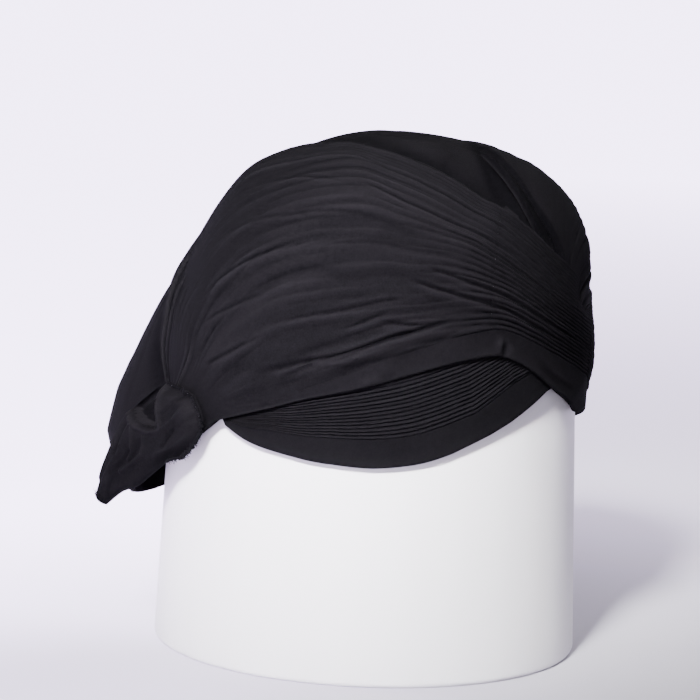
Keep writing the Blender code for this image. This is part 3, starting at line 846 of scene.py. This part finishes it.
def makeCrown():
    settings = crownCloth
    azimuth = np.linspace(-math.pi, math.pi, settings["columns"] + 1)[:, None]
    run = np.linspace(0, 1, settings["rows"] + 2)[None, :-1] ** 1.12
    rim = np.radians(between(crownRim, np.abs(np.degrees(azimuth))))
    azimuth, run = np.broadcast_arrays(azimuth, run)
    elevation = rim + (math.pi / 2 - rim) * run
    base = formRadius(azimuth, elevation) - valleySink(azimuth, elevation)
    x, y, z = np.moveaxis(placeAt(azimuth, elevation, hatRadius), -1, 0)
    soft = 0.9 * (noise(x / 24 + 40, y / 30 + z / 40, 71) - 0.5)
    soft = soft + 0.35 * (noise(x / 9 + 80, y / 12 + z / 12, 72) - 0.5)
    lines = -0.5 * ridged(x / 14 + 30, y / 45 + z / 50, 73) ** 8
    height = (soft + lines) * 0.8 + creasesOnForm(pouchCreases, azimuth, elevation)
    away = np.abs(np.degrees(azimuth))
    slack = smooth((away - settings["slackFrom"]) / settings["slackRise"])
    slack = slack * smooth((180 - away) / settings["slackFall"])
    base = base + slack * between(pouchSlack, np.degrees(elevation)) * mm
    topSpot = placeAt(*np.radians(settings["topAt"]), 1.0)
    apart = ((placeAt(azimuth, elevation, 1.0) - topSpot) ** 2).sum(-1)
    apart = np.degrees(np.arccos(np.clip(1 - apart / 2, -1, 1)))
    base = base + settings["topRise"] * mm * bell(apart / settings["topWidth"])
    fromLeft = awayFromBorder(-1, leftBorders, azimuth, elevation)
    fromRight = awayFromBorder(1, rightBorders, azimuth, elevation)
    # bordered shapes a groove and paints shade along the wraps' borders; shadowed is painted shade beside the
    # left wrap's crease
    bordered = bell(fromLeft / settings["borderShade"])
    bordered = np.maximum(bordered, bell((fromRight / settings["rightShade"]) ** 2))
    shadowed = bell(fromLeft / settings["creaseShade"]) * smooth((60 - away) / 20)
    height = height - settings["borderGroove"] * bordered
    fromRim = (elevation - rim) * base / mm
    inHem = settings["hemWidth"] - fromRim
    height = height - settings["hemDent"] * bell(inHem / 0.7) + settings["hemRise"] * smooth(inHem / 0.8)
    height = height + roundedEdge(fromRim, 1.2, settings["thickness"] * 0.7)
    outer = placeAt(azimuth, elevation, base + height * mm)
    inner = placeAt(azimuth, elevation, base - settings["thickness"] * mm)
    flat = np.stack([azimuth * hatRadius * mm, elevation * hatRadius * mm], -1)
    top = hatForm["centreHeight"] + hatForm["domeRise"]
    poles = ((0, 0, top + 0.0001), (0, 0, top - settings["thickness"] * mm))
    # Painted shade: darker in the dents, along the wraps' borders, beside the left wrap's crease and down in
    # the valley; paler on the bumps
    sunk = valleySink(azimuth, elevation) / (valleyShape["depth"] * mm)
    wearAndPaintedLight = (0.5 + 0.45 * np.clip(height / 0.9, -1, 1)) * (1 - 0.95 * bordered) * (1 - 0.9 * shadowed)
    wearAndPaintedLight = wearAndPaintedLight - 0.25 * sunk - 0.15 * shadowed
    return shellMesh("crownCloth", outer, inner, flat, wearAndPaintedLight, settings["coarse"], poles)


# The knot tails
tailRows = [   # how far back its middle lies, how high, how far outside the wrap, half its width and half its
               # thickness, in mm
    (-1.5, 109.9, 3.0, 15.2, 2.0),
    (9.2, 103.4, 3.4, 15.4, 3.0),
    (19.4, 97.0, 4.0, 15.0, 4.6),
    (31.0, 88.4, 4.4, 14.6, 5.8),
    (39.8, 79.0, 5.0, 12.2, 5.4),
    (48.9, 70.2, 6.0, 7.9, 4.4),
    (57.9, 57.6, 7.0, 2.5, 2.6),
]
tailCloth = {
    "facing": 106.0,              # azimuth that its outer side faces
    "thickness": 1.0,             # mm from here on
    "length": 79.0,
    "sewnLower": 2.0,
    "mouthDepth": 4.8,
    "mouthSlope": 1.7,
    "dents": 1.3,
    "smallDents": 0.7,
    "lineDepth": 0.5,
    "mapRadius": 0.012,           # metres of cloth for each radian round it
    "freeFrom": 0.5,              # shares of its length
    "tipAt": 0.965,
    "pinchLength": 0.10,
    "slopeStep": 0.01,
    "pinch": 0.22,                # share of its thickness left where it is sewn down
    "sides": 176,                 # steps in the mesh
    "rings": 120,
    "coarse": 2,
}
# Places on a tail are its share across, from the lower edge at -1 to the upper edge at 1, and its share along
tailSeam = [
    (-1.0, 0.27), (-0.95, 0.19), (-0.86, 0.10), (-0.72, 0.035), (-0.5, 0.005), (-0.23, 0.0), (0.15, 0.02),
    (0.5, 0.085), (1.0, 0.21)]
tailMouth = [
    (1.1, 0.232), (0.74, 0.248), (0.55, 0.283), (0.27, 0.303), (-0.02, 0.318), (-0.10, 0.335), (-0.02, 0.362),
    (0.24, 0.412), (0.60, 0.450), (0.93, 0.470), (1.1, 0.465)]
tailFolds = [      # height in mm, half width in mm, the line it follows
    (1.2, 1.2, [(0.98, 0.208), (0.74, 0.226), (0.55, 0.258), (0.27, 0.278), (-0.05, 0.292)]),
    (1.0, 0.9, [(1.0, 0.49), (0.60, 0.472), (0.24, 0.438), (-0.05, 0.385), (-0.19, 0.325), (-0.18, 0.27),
                (-0.16, 0.20), (-0.10, 0.13), (-0.03, 0.07)]),
    (0.8, 0.9, [(0.42, 0.458), (0.10, 0.50), (-0.16, 0.532), (-0.22, 0.60)]),
    (0.9, 0.9, [(-0.10, 0.418), (-0.33, 0.45), (-0.48, 0.482), (-0.46, 0.55), (-0.39, 0.62), (-0.30, 0.70)]),
    (0.9, 1.1, [(0.90, 0.50), (0.90, 0.58), (0.86, 0.672), (0.86, 0.80), (0.86, 0.88)]),
    (-0.8, 1.0, [(-0.42, 0.20), (-0.52, 0.26), (-0.66, 0.33)]),
    (-0.7, 1.1, [(0.62, 0.50), (0.52, 0.60), (0.40, 0.68)]),
    (-0.6, 1.2, [(-0.10, 0.56), (-0.12, 0.66), (0.05, 0.78)]),
    (0.6, 1.0, [(0.35, 0.62), (0.30, 0.74), (0.20, 0.86)]),
    (0.6, 1.0, [(-0.75, 0.10), (-0.80, 0.24), (-0.72, 0.40)]),
    (-0.6, 0.8, [(0.30, 0.09), (0.22, 0.17), (0.14, 0.25)]),
]


def awayFromLine(spots, line):                # how far each spot is from a broken line
    nearest = np.full(spots.shape[:-1], 1e9)
    for start, end in zip(line[:-1], line[1:]):
        run = end - start
        share = np.clip(((spots - start) @ run) / (run @ run), 0, 1)
        nearest = np.minimum(nearest, np.linalg.norm(spots - start - share[..., None] * run, axis=-1))
    return nearest


def insideLoop(spots, loop):
    inside = np.zeros(spots.shape[:-1], bool)
    for start, end in zip(loop, np.roll(loop, -1, 0)):
        if start[1] == end[1]:
            continue
        spans = (spots[..., 1] < start[1]) != (spots[..., 1] < end[1])
        crossing = start[0] + (spots[..., 1] - start[1]) / (end[1] - start[1]) * (end[0] - start[0])
        inside ^= spans & (spots[..., 0] < crossing)
    return inside


def tailMm(across, place):
    return np.stack([across * through(tailRows, 3, place), place * tailCloth["length"]], -1)


def tailFrame():
    facing = math.radians(tailCloth["facing"])
    outward = np.array([-math.sin(facing), -math.cos(facing), 0])
    backward = np.array([-math.cos(facing), math.sin(facing), 0])
    return outward, backward


def tailPoints(around, share, wrapFace, wall):
    settings = tailCloth
    start = between(tailSeam, np.cos(around))
    place = start + (settings["tipAt"] - start) * share
    back, height, out, halfWidth, halfThickness = [through(tailRows, column, place) for column in range(5)]
    sewn = 1 - smooth((place - start) / settings["pinchLength"])
    halfThickness = halfThickness * (1 - (1 - settings["pinch"]) * sewn)
    halfThickness = halfThickness - np.minimum(wall, 0.6 * halfThickness)
    halfWidth = halfWidth * (1 + 0.10 * sewn * (np.cos(around) < 0)) - wall
    step = settings["slopeStep"]
    run, fall = [
        through(tailRows, column, place + step) - through(tailRows, column, place - step)
        for column in (0, 1)]
    slope = np.hypot(run, fall)
    across = halfWidth * np.cos(around)
    outward, backward = tailFrame()
    level = back - across * fall / slope
    upright = height + across * run / slope
    curve = wrapFace - np.sqrt(wrapFace**2 - level**2)
    lowered = settings["sewnLower"] * sewn
    proud = wrapFace + out - lowered + halfThickness * np.sin(around)
    proud = proud - curve * (1 - smooth(place / settings["freeFrom"]))
    points = level[..., None] * backward + proud[..., None] * outward + upright[..., None] * [0, 0, 1]
    return points * mm, place


def tailRelief(around, place, seed):
    settings = tailCloth
    across = np.cos(around)
    spots = tailMm(across, place)
    face = smooth(np.sin(around) * 2.2)
    x, y = np.moveaxis(spots, -1, 0)
    height = settings["dents"] * (noise(x / 8 + 3, y / 22, seed) - 0.5)
    height = height + settings["smallDents"] * (noise(x / 3.4 + 9, y / 9, seed + 1) - 0.5)
    height = height - settings["lineDepth"] * ridged(x / 9 + y / 40 + 20, y / 34, seed + 2) ** 7
    for rise, width, line in tailFolds:
        corners = np.array(line)
        away = awayFromLine(spots, tailMm(corners[:, 0], corners[:, 1]))
        height = height + rise * bell(away / width)
    corners = np.array(tailMouth)
    loop = tailMm(corners[:, 0], corners[:, 1])
    closed = np.concatenate([loop, loop[:1]])
    deep = np.where(insideLoop(spots, loop), awayFromLine(spots, closed), 0)
    height = height - settings["mouthDepth"] * smooth(deep / settings["mouthSlope"])
    return height * face


def makeTail(name, side, wrapLift, seed):
    settings = tailCloth
    around = np.linspace(-math.pi, math.pi, settings["sides"] + 1)[:, None]
    share = (np.linspace(0, 1, settings["rings"] + 2)[None, :-1]) ** 0.95
    around, share = np.broadcast_arrays(around, share)
    wrapFace = hatRadius + wrapLift + wrapCloth["thickness"]
    points, place = tailPoints(around, share, wrapFace, 0.0)
    relief = tailRelief(around, place, seed) * smooth((1 - share) / 0.10) * smooth(share / 0.05 + 0.2)
    outward = tailFrame()[0]
    moved = outward * (relief * mm)[..., None]
    flip = np.array([side, 1, 1])
    outer = (points + moved) * flip
    inner = (tailPoints(around, share * 0.97, wrapFace, settings["thickness"])[0] + moved) * flip
    flat = np.stack([around * settings["mapRadius"], share * settings["length"] * mm], -1)
    # Painted shade: darker along the ragged seam and in the dents, paler on the folds
    seamMm = share * settings["length"] * (0.7 + 0.6 * noise(around * 9, around * 0, seed + 3))
    wearAndPaintedLight = 0.5 + 0.4 * np.clip(relief / 0.9, -1, 1) - 0.5 * bell(seamMm / 1.8)
    poles = (outer[:, -1].mean(0), inner[:, -1].mean(0))
    mesh = shellMesh(name, outer, inner, flat, wearAndPaintedLight, settings["coarse"], poles)
    return mesh, {"around": around[:, 0], "points": outer, "outward": outward * flip}


# Threads and fibres follow a path: a mesh of edges whose points carry the direction out of the cloth
def newGeometryTree(name, numbers):
    tree = bpy.data.node_groups.new(name, "GeometryNodeTree")
    tree.interface.new_socket("Geometry", in_out="INPUT", socket_type="NodeSocketGeometry")
    for label in numbers:
        kind = "NodeSocketInt" if label == "Seed" else "NodeSocketFloat"
        tree.interface.new_socket(label, in_out="INPUT", socket_type=kind)
    tree.interface.new_socket("Geometry", in_out="OUTPUT", socket_type="NodeSocketGeometry")
    source = tree.nodes.new("NodeGroupInput")
    return tree, {socket.name: Wire(tree, socket) for socket in source.outputs if socket.name}


def randomNumber(tree, low, high, seed):
    limits = {2: low, 3: high, 8: seed}
    return addNode(tree, "FunctionNodeRandomValue", {"data_type": "FLOAT"}, limits, output=1)


def triple(tree, x=0.0, y=0.0, z=0.0):
    return addNode(tree, "ShaderNodeCombineXYZ", {}, {0: x, 1: y, 2: z})


def turnedBy(tree, rotation, angles):
    return addNode(tree, "FunctionNodeRotateRotation", {"rotation_space": "LOCAL"}, {
        "Rotation": rotation, "Rotate By": addNode(tree, "FunctionNodeEulerToRotation", {}, {0: angles})})


def stitchShape(tree, wires):
    size = triple(tree, wires["Length"] * 0.5, wires["Thickness"] * 0.5, wires["Thickness"] * 0.5)
    bead = addNode(tree, "GeometryNodeMeshUVSphere", {}, {"Segments": 6, "Rings": 5, "Radius": 1.0})
    return addNode(tree, "GeometryNodeTransform", {}, {"Geometry": bead, "Scale": size})


def fibreShape(tree, wires):
    length, radius = wires["Length"], wires["Thickness"] * 0.5
    bend = addNode(tree, "GeometryNodeCurveQuadraticBezier", {}, {
        "Resolution": 4, "Start": (0.0, 0.0, 0.0), "Middle": triple(tree, length * 0.55, 0.0, length * 0.28),
        "End": triple(tree, length * 0.95, length * 0.22)})
    ring = addNode(tree, "GeometryNodeCurvePrimitiveCircle", {}, {"Resolution": 3, "Radius": radius})
    return addNode(tree, "GeometryNodeCurveToMesh", {}, {
        "Curve": bend, "Profile Curve": ring, "Fill Caps": True})


# A tree that lays one shape along the path, each spun about the path, tilted and turned by a random angle
def threadTree(name, material, makeShape, spin, tilt, largest):
    tree, wires = newGeometryTree(name, ("Pitch", "Length", "Thickness", "Turn", "Loose", "Least", "Seed"))
    curve = addNode(tree, "GeometryNodeMeshToCurve", {}, {"Mesh": wires["Geometry"]})
    evenly = addNode(tree, "GeometryNodeResampleCurve", {"mode": "LENGTH"}, {
        "Curve": curve, "Length": wires["Pitch"]})
    tangent = addNode(tree, "GeometryNodeInputTangent")
    outward = addNode(tree, "GeometryNodeInputNamedAttribute", {"data_type": "FLOAT_VECTOR"}, {
        "Name": "outward"})
    first = addNode(tree, "FunctionNodeAlignRotationToVector", {"axis": "X"}, {"Vector": tangent})
    upright = addNode(tree, "FunctionNodeAlignRotationToVector", {"axis": "Z", "pivot_axis": "X"}, {
        "Rotation": first, "Vector": outward})
    seed, loose = wires["Seed"], wires["Loose"]
    most = (spin, loose * tilt, loose)
    angles = [randomNumber(tree, limit * -1.0, limit, seed + k) for k, limit in enumerate(most)]
    turned = turnedBy(tree, turnedBy(tree, upright, triple(tree, z=wires["Turn"])), triple(tree, *angles))
    placed = addNode(tree, "GeometryNodeInstanceOnPoints", {}, {
        "Points": evenly, "Instance": makeShape(tree, wires), "Rotation": turned,
        "Scale": randomNumber(tree, wires["Least"], largest, seed + 7)})
    solid = addNode(tree, "GeometryNodeRealizeInstances", {}, {"Geometry": placed})
    dyed = addNode(tree, "GeometryNodeSetMaterial", {}, {"Geometry": solid, "Material": material})
    tree.links.new(dyed.socket, tree.nodes.new("NodeGroupOutput").inputs[0])
    return tree


# A mesh of what the tree lays along the path
def growAlong(name, tree, points, outward):
    sizes = threadSizes[name]
    values = dict(zip(("Pitch", "Length", "Thickness"), [size * mm for size in sizes[:3]]))
    values.update(zip(("Turn", "Loose", "Least", "Seed"), sizes[3:]))
    path = bpy.data.meshes.new(name + "Path")
    path.from_pydata(np.asarray(points).tolist(), [(k, k + 1) for k in range(len(points) - 1)], [])
    directions = np.broadcast_to(outward, np.shape(points)).astype(np.float32)
    path.attributes.new("outward", "FLOAT_VECTOR", "POINT").data.foreach_set("vector", directions.ravel())
    holder = addObject(name + "Path", path)
    modifier = holder.modifiers.new("grow", "NODES")
    modifier.node_group = tree
    for socket in tree.interface.items_tree:
        if socket.in_out == "INPUT" and socket.name in values:
            modifier[socket.identifier] = values[socket.name]
    bpy.context.view_layer.update()
    grown = bpy.data.meshes.new_from_object(holder.evaluated_get(bpy.context.evaluated_depsgraph_get()))
    grown.name = name
    bpy.data.objects.remove(holder)
    bpy.data.meshes.remove(path)
    return grown


def joinMeshes(name, meshes):
    points, faces = [], []
    for mesh in meshes:
        count = len(points)
        points += [tuple(vertex.co) for vertex in mesh.vertices]
        faces += [[count + corner for corner in face.vertices] for face in mesh.polygons]
        bpy.data.meshes.remove(mesh)
    joined = bpy.data.meshes.new(name)
    joined.from_pydata(points, [], faces)
    joined.shade_smooth()
    return joined


threadSizes = {   # pitch, length, thickness in mm, turn and looseness in radians, least size, seed
    "row": (2.1, 0.9, 0.28, 0.0, 0.25, 0.5, 11),
    "rowSpecks": (5.2, 0.4, 0.15, 0.3, 1.0, 0.0, 13),
    "overcast": (0.8, 2.8, 0.75, 1.25, 1.0, 0.3, 23),
    "clumps": (0.6, 2.8, 1.30, 1.0, 1.6, 0.3, 27),
    "seamSpecks": (3.9, 0.55, 0.20, 0.9, 1.5, 0.0, 31),
    "cornerSpecks": (1.5, 0.6, 0.22, 0.9, 1.8, 0.0, 37),
    "frayedCorner": (0.25, 2.2, 0.20, 1.6, 1.3, 0.3, 43),
    "frayedTip": (0.16, 3.0, 0.15, 1.6, 0.9, 0.35, 57),
}
stitching = {
    "rowFrom": 0.02,              # shares of the pleats' height
    "rowTo": 0.97,
    "proud": 0.0002,              # metres above the cloth
    "dark": (0.0024, 0.0021, 0.0030),
    "light": (0.12, 0.115, 0.125),
}


# Points across the pleats where the row of stitches holds them
def wrapStitchPath(grid, later):
    high = grid["high"]
    inRow = (high >= stitching["rowFrom"]) & (high <= stitching["rowTo"])
    points = []
    for row in np.where((grid["hemShare"] >= 1) & inRow)[0][::2]:
        column = (between(stitchLineRows, high[row]) + later) * (len(grid["along"]) - 1)
        low = int(column)
        before, after = grid["points"][low, row], grid["points"][low + 1, row]
        points.append(before * (1 + low - column) + after * (column - low))
    outward = np.array(points) - hatCentre
    outward = outward / np.linalg.norm(outward, axis=-1, keepdims=True)
    smoothed = np.array(points)
    for k in range(1, len(points) - 1):
        smoothed[k] = np.mean(points[max(0, k - 2):k + 3], axis=0)
    return smoothed + outward * stitching["proud"] * 2, outward


# Along the seam, round the ragged lower corner, and round the tip
def tailPaths(grid):
    around, points = grid["around"], grid["points"]
    face = np.where((around > 0.05) & (around < math.pi - 0.02))[0]
    out = grid["outward"] * stitching["proud"]
    seam = points[face, 1] + out * 2
    lower = face[np.cos(around[face]) < -0.45]
    corner = np.concatenate([points[lower, 1], points[-1, 2:16]]) + out
    tip = points[face[::3], -2] + out
    return seam, corner, tip


standShape = {
    "footRadius": 0.0903,
    "topRadius": 0.0848,
    "height": 0.146,
    "edgeRound": 0.0025,
    "sides": 256,
    "edgeSteps": 6,
    "rings": 12,
}


def makeStand():
    settings = standShape
    foot, top, height, edge = [settings[name] for name in ("footRadius", "topRadius", "height", "edgeRound")]
    turns = np.linspace(0, math.pi / 2, settings["edgeSteps"] + 1)
    profile = [(foot - edge + edge * math.sin(turn), edge - edge * math.cos(turn)) for turn in turns]
    for share in np.linspace(0, 1, settings["rings"] + 1)[1:-1]:
        profile.append((foot + (top - foot) * share, edge + (height - 2 * edge) * share))
    profile += [(top - edge + edge * math.cos(turn), height - edge + edge * math.sin(turn)) for turn in turns]
    sides = settings["sides"]
    ring = [(math.cos(turn), math.sin(turn)) for turn in np.linspace(0, 2 * math.pi, sides, endpoint=False)]
    points = [(radius * x, radius * y, z) for radius, z in profile for x, y in ring]
    last = len(points) - sides
    faces = [tuple(range(sides - 1, -1, -1)), tuple(range(last, len(points)))]
    for start in range(0, last, sides):
        for k in range(sides):
            near, far = start + k, start + (k + 1) % sides
            faces.append((near, far, far + sides, near + sides))
    mesh = bpy.data.meshes.new("displayStand")
    mesh.from_pydata(points, [], faces)
    mesh.shade_smooth()
    mesh.set_sharp_from_angle(angle=math.radians(40))
    return mesh


# The studio
def makeFloor():
    settings = lighting
    material, tree, shader = newMaterial("paleFloor")
    place = addNode(tree, "ShaderNodeTexCoord", output=3)
    cloud = addNoise(tree, place, 3.0)
    plug(tree, mixColours(tree, cloud, settings["floorDark"], settings["floorPale"]), shader, "Base Color")
    right, up, back, target = cameraAxes()
    away = addNode(tree, "ShaderNodeVectorMath", {"operation": "LENGTH"}, {0: place}, output=1)
    across, beyond = [
        addNode(tree, "ShaderNodeVectorMath", {"operation": "DOT_PRODUCT"}, {0: place, 1: axis}, output=1)
        for axis in (tuple(right), tuple(-back))]
    # The glow is painted light: it fades towards the stand's foot, is weaker on the camera's side, and leaves
    # a painted shadow of the stand on the right
    glow = mapSmoothly(tree, away, settings["glowFrom"], settings["glowTo"])
    sideways = mapSmoothly(tree, across, settings["dimFrom"], settings["dimTo"])
    near = addNode(tree, "ShaderNodeMapRange", {}, {
        "Value": beyond, "From Min": settings["dimDepth"], "From Max": 0.0})
    behind = mapSmoothly(tree, beyond / away, -0.6, 0.3, settings["inFront"], 1.0)
    share = glow * behind * (1 - sideways * near * settings["dimmest"])
    light = mixColours(tree, share, (0.0, 0.0, 0.0, 1.0), settings["floorTint"])
    plug(tree, light, shader, "Emission Color")
    shader.inputs["Emission Strength"].default_value = settings["floorGlow"]
    shader.inputs["Roughness"].default_value = 0.7
    mesh = bpy.data.meshes.new("floor")
    size = settings["floorSize"]
    corners = [(-size, -size, 0), (size, -size, 0), (size, size, 0), (-size, size, 0)]
    mesh.from_pydata(corners, [], [(0, 1, 2, 3)])
    mesh.materials.append(material)
    addObject("floor", mesh)


placeCamera()
placeLights()
makeFloor()
print("studio ready")

cotton = makeCotton("blackCotton")
underLift = wrapCloth["layerGap"]
overLift = underLift + wrapCloth["thickness"] + wrapCloth["cadPleatDepth"] + wrapCloth["layerGap"]

crown = addPiece("crownCloth", makeCrown(), cotton, "black_cotton", "crown")
print("crown made")

leftMesh, leftGrid = makeWrap("leftWrapCloth", -1, underLift, underLift, leftCreases, 301, True)
leftWrap = addPiece("leftWrapCloth", leftMesh, cotton, "black_cotton", "left_wrap")
rightMesh, rightGrid = makeWrap("rightWrapCloth", 1, underLift, overLift, rightCreases, 101, False)
rightWrap = addPiece("rightWrapCloth", rightMesh, cotton, "black_cotton", "right_wrap")
print("wraps made")

darkThread = makeThread("darkThread", stitching["dark"])
lightThread = makeThread("lightThread", stitching["light"])
darkStitches = threadTree("darkStitches", darkThread, stitchShape, 0.0, 0.4, 1.3)
lightStitches = threadTree("lightStitches", lightThread, stitchShape, 0.0, 0.4, 1.3)
darkFibres = threadTree("darkFibres", darkThread, fibreShape, 3.0, 0.6, 1.15)
for name, side, lift, wrap, grid, seed in (
        ("right", 1, overLift, rightWrap, rightGrid, 401), ("left", -1, underLift, leftWrap, leftGrid, 431)):
    tailMesh, tailGrid = makeTail(name + "TailCloth", side, lift, seed)
    tail = addPiece(name + "TailCloth", tailMesh, cotton, "black_cotton", name + "_tail")
    seam, corner, tip = tailPaths(tailGrid)
    out = tailGrid["outward"]
    rowPoints, rowOut = wrapStitchPath(grid, wrapCloth["leftStitchesLater"] if name == "left" else 0)
    threads = joinMeshes(name + "Threads", [
        growAlong("row", darkStitches, rowPoints, rowOut),
        growAlong("overcast", darkStitches, seam, out),
        growAlong("clumps", darkStitches, corner, out),
        growAlong("frayedCorner", darkFibres, corner, out),
        growAlong("frayedTip", darkFibres, tip, out)])
    threadPiece = addPiece(name + "Threads", threads, darkThread, "black_cotton")
    specks = joinMeshes(name + "ThreadEnds", [
        growAlong("rowSpecks", lightStitches, rowPoints, rowOut),
        growAlong("seamSpecks", lightStitches, seam, out),
        growAlong("cornerSpecks", lightStitches, corner, out)])
    endPiece = addPiece(name + "ThreadEnds", specks, lightThread, "black_cotton")
print("tails and threads made")

stand = addPiece("displayStand", makeStand(), makeStandFinish(), "white_stand", "display_stand")
print("stand made")
